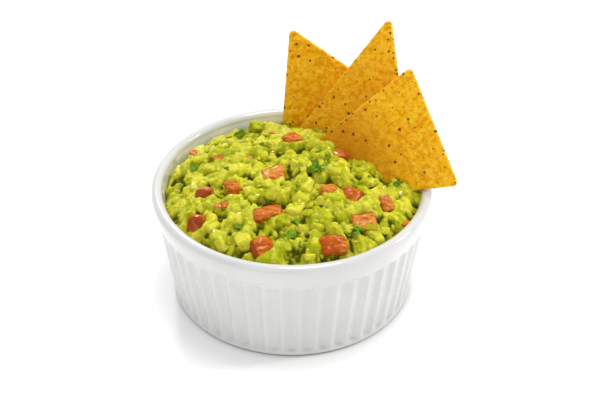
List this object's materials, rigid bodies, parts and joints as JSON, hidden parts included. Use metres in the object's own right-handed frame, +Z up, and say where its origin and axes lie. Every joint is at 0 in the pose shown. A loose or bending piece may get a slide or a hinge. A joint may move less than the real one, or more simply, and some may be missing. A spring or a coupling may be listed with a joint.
{
  "type": "guacamole in a ramekin",
  "caption": "Chunky guacamole with diced tomato, heaped in a round fluted white ramekin, with tortilla chips stood in its back edge.",
  "frame": {"origin": "centre of the ramekin's flat underside", "axes": "+Z up along the ramekin's axis; -Y is the front; the chips stand at the back right, towards +X and +Y"},
  "size_m": [0.1296, 0.12, 0.1072],
  "materials": {
    "glazed_porcelain": "gloss white glaze",
    "mashed_avocado": "wet crushed avocado, yellow-green",
    "fried_corn": "dry fried corn, golden with dark specks",
    "tomato_flesh": "wet diced tomato"
  },
  "bodies": {
    "root": {"ramekin": "glazed_porcelain", "guacamole": "mashed_avocado", "chip_front": "fried_corn", "chip_middle": "fried_corn", "chip_back": "fried_corn", "tomato_01": "tomato_flesh", "tomato_02": "tomato_flesh", "tomato_03": "tomato_flesh", "tomato_04": "tomato_flesh", "tomato_05": "tomato_flesh", "tomato_06": "tomato_flesh", "tomato_07": "tomato_flesh", "tomato_08": "tomato_flesh", "tomato_09": "tomato_flesh", "tomato_10": "tomato_flesh", "tomato_11": "tomato_flesh", "tomato_12": "tomato_flesh", "tomato_13": "tomato_flesh", "tomato_14": "tomato_flesh", "tomato_15": "tomato_flesh", "tomato_16": "tomato_flesh"}
  },
  "joints": []
}
